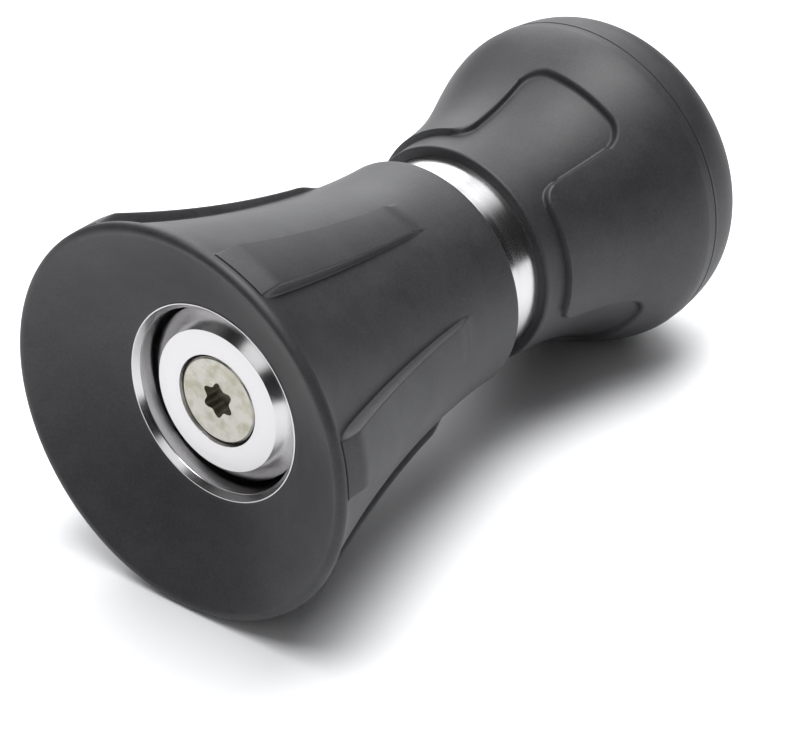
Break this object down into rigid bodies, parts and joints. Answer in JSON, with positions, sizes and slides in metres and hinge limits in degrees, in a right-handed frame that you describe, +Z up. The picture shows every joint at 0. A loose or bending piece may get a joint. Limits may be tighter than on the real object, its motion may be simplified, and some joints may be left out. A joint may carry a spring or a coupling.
{
  "type": "fire hose nozzle",
  "caption": "Twist fire hose nozzle: ribbed rubber bell on a threaded aluminium barrel, fixed spray disc, bulb-shaped rubber grip and a swivelling hose coupling.",
  "frame": {"origin": "on the nozzle's axis, halfway between the front rim and the rear face", "axes": "+Y along the axis towards the hose, so the mouth faces -Y; +Z up; +X to the right for someone who looks along +Y into the mouth"},
  "size_m": [0.07, 0.12, 0.07],
  "materials": {
    "charcoal_rubber": "matte moulded",
    "seal_rubber": "smooth",
    "turned_aluminium": "bright turned",
    "body_aluminium": "fine turned",
    "stainless_steel": "satin",
    "white_acetal": "satin"
  },
  "bodies": {
    "nozzle": {"nozzle_body": "body_aluminium", "rear_grip": "charcoal_rubber", "nose_seal_ring": "seal_rubber", "baffle_stem": "stainless_steel", "stem_spider": "white_acetal", "spider_retaining_ring": "stainless_steel", "stem_washer": "stainless_steel", "stem_nut": "stainless_steel", "baffle_disc": "turned_aluminium", "baffle_seal_ring": "seal_rubber", "baffle_screw": "stainless_steel", "swivel_thrust_washer": "white_acetal", "swivel_retaining_ring": "stainless_steel", "inlet_screen": "stainless_steel"},
    "barrel_wiper": {"neck_wiper_ring": "seal_rubber"},
    "barrel": {"barrel": "turned_aluminium", "barrel_sleeve": "charcoal_rubber"},
    "hose_coupling": {"swivel_nut": "turned_aluminium", "coupling_collar": "charcoal_rubber", "hose_washer": "seal_rubber"}
  },
  "joints": [
    {"name": "barrel_travel", "type": "slide", "parent": "nozzle", "child": "barrel_wiper", "axis": [0, 1, 0], "range_m": [0, 0.008]},
    {"name": "barrel_twist", "type": "hinge", "parent": "barrel_wiper", "child": "barrel", "pos_m": [0, 0, 0], "axis": [0, 1, 0], "range_deg": [0, 240]},
    {"name": "coupling_swivel", "type": "hinge", "parent": "nozzle", "child": "hose_coupling", "pos_m": [0, 0.05, 0], "axis": [0, 1, 0], "continuous": true}
  ],
  "couplings": [
    {"joint": "barrel_travel", "follows": "barrel_twist", "m_per_rad": 0.0019098}
  ]
}
